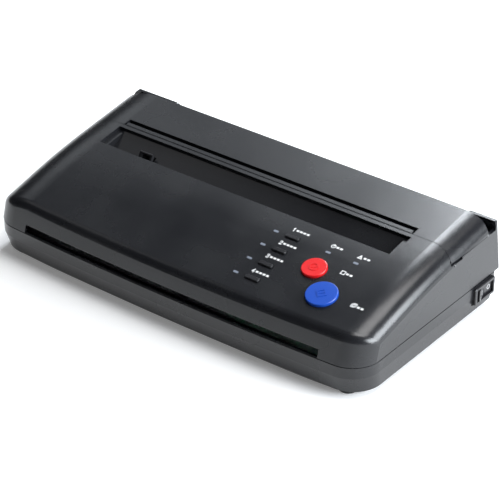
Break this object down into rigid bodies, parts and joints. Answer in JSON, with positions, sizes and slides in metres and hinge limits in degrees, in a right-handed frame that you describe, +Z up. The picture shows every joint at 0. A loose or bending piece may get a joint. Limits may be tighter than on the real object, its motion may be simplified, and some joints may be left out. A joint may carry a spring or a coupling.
{
  "type": "thermal stencil copier",
  "caption": "Low wedge-shaped desktop thermal copier with a hinged rear cover, document recess, push buttons, rocker switch and geared paper rollers inside.",
  "frame": {"origin": "on the table, below the middle of the machine's outline", "axes": "+X along the machine towards the rocker switch, +Y from the operator to the rear, +Z up"},
  "size_m": [0.2927, 0.153, 0.0657],
  "materials": {
    "black_plastic": "satin black ABS with a fine grain",
    "grey_plastic": "black moulded plastic",
    "frame_steel": "zinc-plated sheet steel",
    "bright_steel": "bright steel",
    "aluminium": "plain aluminium bar",
    "ceramic": "glazed ceramic strip, stated as plastic",
    "gear_plastic": "natural acetal",
    "black_rubber": "black rubber",
    "white_roller": "white rubber",
    "sensor_body": "black sensor bar",
    "clear_glass": "clear cover glass",
    "lamp_plastic": "diffusing lamp bars",
    "circuit_board": "green circuit board",
    "components": "moulded electronic parts",
    "red_plastic": "red moulded plastic",
    "blue_plastic": "blue moulded plastic"
  },
  "bodies": {
    "base": {"lower_case": "black_plastic", "upper_case": "black_plastic", "hinge_pins": "bright_steel", "rubber_feet": "black_rubber", "case_screws": "bright_steel", "document_tray": "black_plastic", "left_side_frame": "frame_steel", "right_side_frame": "frame_steel", "shaft_bushes": "gear_plastic", "gear_studs": "bright_steel", "guide_sheets": "frame_steel", "image_sensor": "sensor_body", "sensor_glass": "clear_glass", "left_motor": "frame_steel", "right_motor": "frame_steel", "pad_holder": "grey_plastic", "separation_pads": "black_rubber", "spring_bar": "frame_steel", "inlet_guide": "grey_plastic", "main_board": "circuit_board", "main_board_parts": "components", "power_board": "circuit_board", "power_board_parts": "components", "key_board": "circuit_board", "tact_switches": "grey_plastic", "mode_lamps": "lamp_plastic", "status_lamps": "lamp_plastic", "switch_housing": "grey_plastic", "power_inlet": "grey_plastic", "pressure_springs": "bright_steel"},
    "cover": {"rear_cover": "black_plastic"},
    "platen": {"platen_shaft": "bright_steel", "platen_sleeve": "black_rubber", "platen_gear": "gear_plastic"},
    "feed": {"feed_shaft": "bright_steel", "feed_sleeves": "black_rubber", "feed_gear": "gear_plastic"},
    "scan": {"scan_shaft": "bright_steel", "scan_sleeve": "white_roller", "scan_gear": "gear_plastic"},
    "right_idler": {"right_idler_gear": "gear_plastic"},
    "left_idler": {"left_idler_gear": "gear_plastic"},
    "link": {"link_gear": "gear_plastic"},
    "right_pinion_body": {"right_pinion": "gear_plastic"},
    "left_pinion_body": {"left_pinion": "gear_plastic"},
    "head": {"heat_sink": "aluminium", "thermal_head": "ceramic"},
    "stop": {"stop_button": "red_plastic"},
    "copy": {"copy_button": "blue_plastic"},
    "mode_1": {"mode_key_1": "grey_plastic"},
    "mode_2": {"mode_key_2": "grey_plastic"},
    "mode_3": {"mode_key_3": "grey_plastic"},
    "mode_4": {"mode_key_4": "grey_plastic"},
    "rocker_body": {"rocker": "grey_plastic"},
    "document_lever": {"document_sensor_lever": "grey_plastic"},
    "sheet_lever": {"sheet_sensor_lever": "grey_plastic"}
  },
  "joints": [
    {"name": "cover_hinge", "type": "hinge", "parent": "base", "child": "cover", "pos_m": [0, 0.06385, 0.056], "axis": [-1, 0, 0], "range_deg": [0, 90]},
    {"name": "platen_spin", "type": "hinge", "parent": "base", "child": "platen", "pos_m": [0, 0.03885, 0.0385], "axis": [1, 0, 0], "continuous": true},
    {"name": "feed_spin", "type": "hinge", "parent": "base", "child": "feed", "pos_m": [0, -0.014, 0.033], "axis": [1, 0, 0], "continuous": true},
    {"name": "scan_spin", "type": "hinge", "parent": "base", "child": "scan", "pos_m": [0, -0.046, 0.0298], "axis": [1, 0, 0], "continuous": true},
    {"name": "right_idler_spin", "type": "hinge", "parent": "base", "child": "right_idler", "pos_m": [0.123, 0.0281, 0.01794], "axis": [1, 0, 0], "continuous": true},
    {"name": "right_pinion_spin", "type": "hinge", "parent": "base", "child": "right_pinion_body", "pos_m": [0.123, 0.0131, 0.0255], "axis": [1, 0, 0], "continuous": true},
    {"name": "left_idler_spin", "type": "hinge", "parent": "base", "child": "left_idler", "pos_m": [-0.123, 0.00615, 0.04079], "axis": [1, 0, 0], "continuous": true},
    {"name": "left_pinion_spin", "type": "hinge", "parent": "base", "child": "left_pinion_body", "pos_m": [-0.123, 0.0131, 0.0255], "axis": [1, 0, 0], "continuous": true},
    {"name": "link_spin", "type": "hinge", "parent": "base", "child": "link", "pos_m": [-0.123, -0.03053, 0.02324], "axis": [1, 0, 0], "continuous": true},
    {"name": "head_pivot", "type": "hinge", "parent": "base", "child": "head", "pos_m": [0, 0.053, 0.0502], "axis": [-1, 0, 0], "range_deg": [0, 2.5], "stiffness_Nm_per_rad": 8, "springref_deg": -1.72, "deforming": ["pressure_springs"]},
    {"name": "stop_press", "type": "slide", "parent": "base", "child": "stop", "axis": [0, 0.2297, -0.9733], "range_m": [0, 0.0008], "stiffness_N_per_m": 900, "springref_m": -0.0004},
    {"name": "copy_press", "type": "slide", "parent": "base", "child": "copy", "axis": [0, 0.2402, -0.9707], "range_m": [0, 0.0008], "stiffness_N_per_m": 900, "springref_m": -0.0004},
    {"name": "mode_1_press", "type": "slide", "parent": "base", "child": "mode_1", "axis": [0, 0.1979, -0.9802], "range_m": [0, 0.0008], "stiffness_N_per_m": 600, "springref_m": -0.0004},
    {"name": "mode_2_press", "type": "slide", "parent": "base", "child": "mode_2", "axis": [0, 0.2244, -0.9745], "range_m": [0, 0.0008], "stiffness_N_per_m": 600, "springref_m": -0.0004},
    {"name": "mode_3_press", "type": "slide", "parent": "base", "child": "mode_3", "axis": [0, 0.2402, -0.9707], "range_m": [0, 0.0008], "stiffness_N_per_m": 600, "springref_m": -0.0004},
    {"name": "mode_4_press", "type": "slide", "parent": "base", "child": "mode_4", "axis": [0, 0.2402, -0.9707], "range_m": [0, 0.0008], "stiffness_N_per_m": 600, "springref_m": -0.0004},
    {"name": "rocker_tilt", "type": "hinge", "parent": "base", "child": "rocker_body", "pos_m": [0.141, 0.0575, 0.0157], "axis": [0, 0, -1], "range_deg": [0, 16]},
    {"name": "document_lever_swing", "type": "hinge", "parent": "base", "child": "document_lever", "pos_m": [-0.0825, -0.0015, 0.039], "axis": [1, 0, 0], "range_deg": [0, 20], "stiffness_Nm_per_rad": 0.002, "springref_deg": -28.65},
    {"name": "sheet_lever_swing", "type": "hinge", "parent": "base", "child": "sheet_lever", "pos_m": [-0.02, 0.0635, 0.041], "axis": [1, 0, 0], "range_deg": [0, 25], "stiffness_Nm_per_rad": 0.001, "springref_deg": -28.65}
  ],
  "couplings": [
    {"joint": "right_idler_spin", "follows": "platen_spin", "ratio": -0.93333},
    {"joint": "right_pinion_spin", "follows": "platen_spin", "ratio": 2.3333},
    {"joint": "left_idler_spin", "follows": "feed_spin", "ratio": -0.8},
    {"joint": "left_pinion_spin", "follows": "feed_spin", "ratio": 2},
    {"joint": "link_spin", "follows": "feed_spin", "ratio": -1},
    {"joint": "scan_spin", "follows": "feed_spin", "ratio": 1.3333}
  ]
}
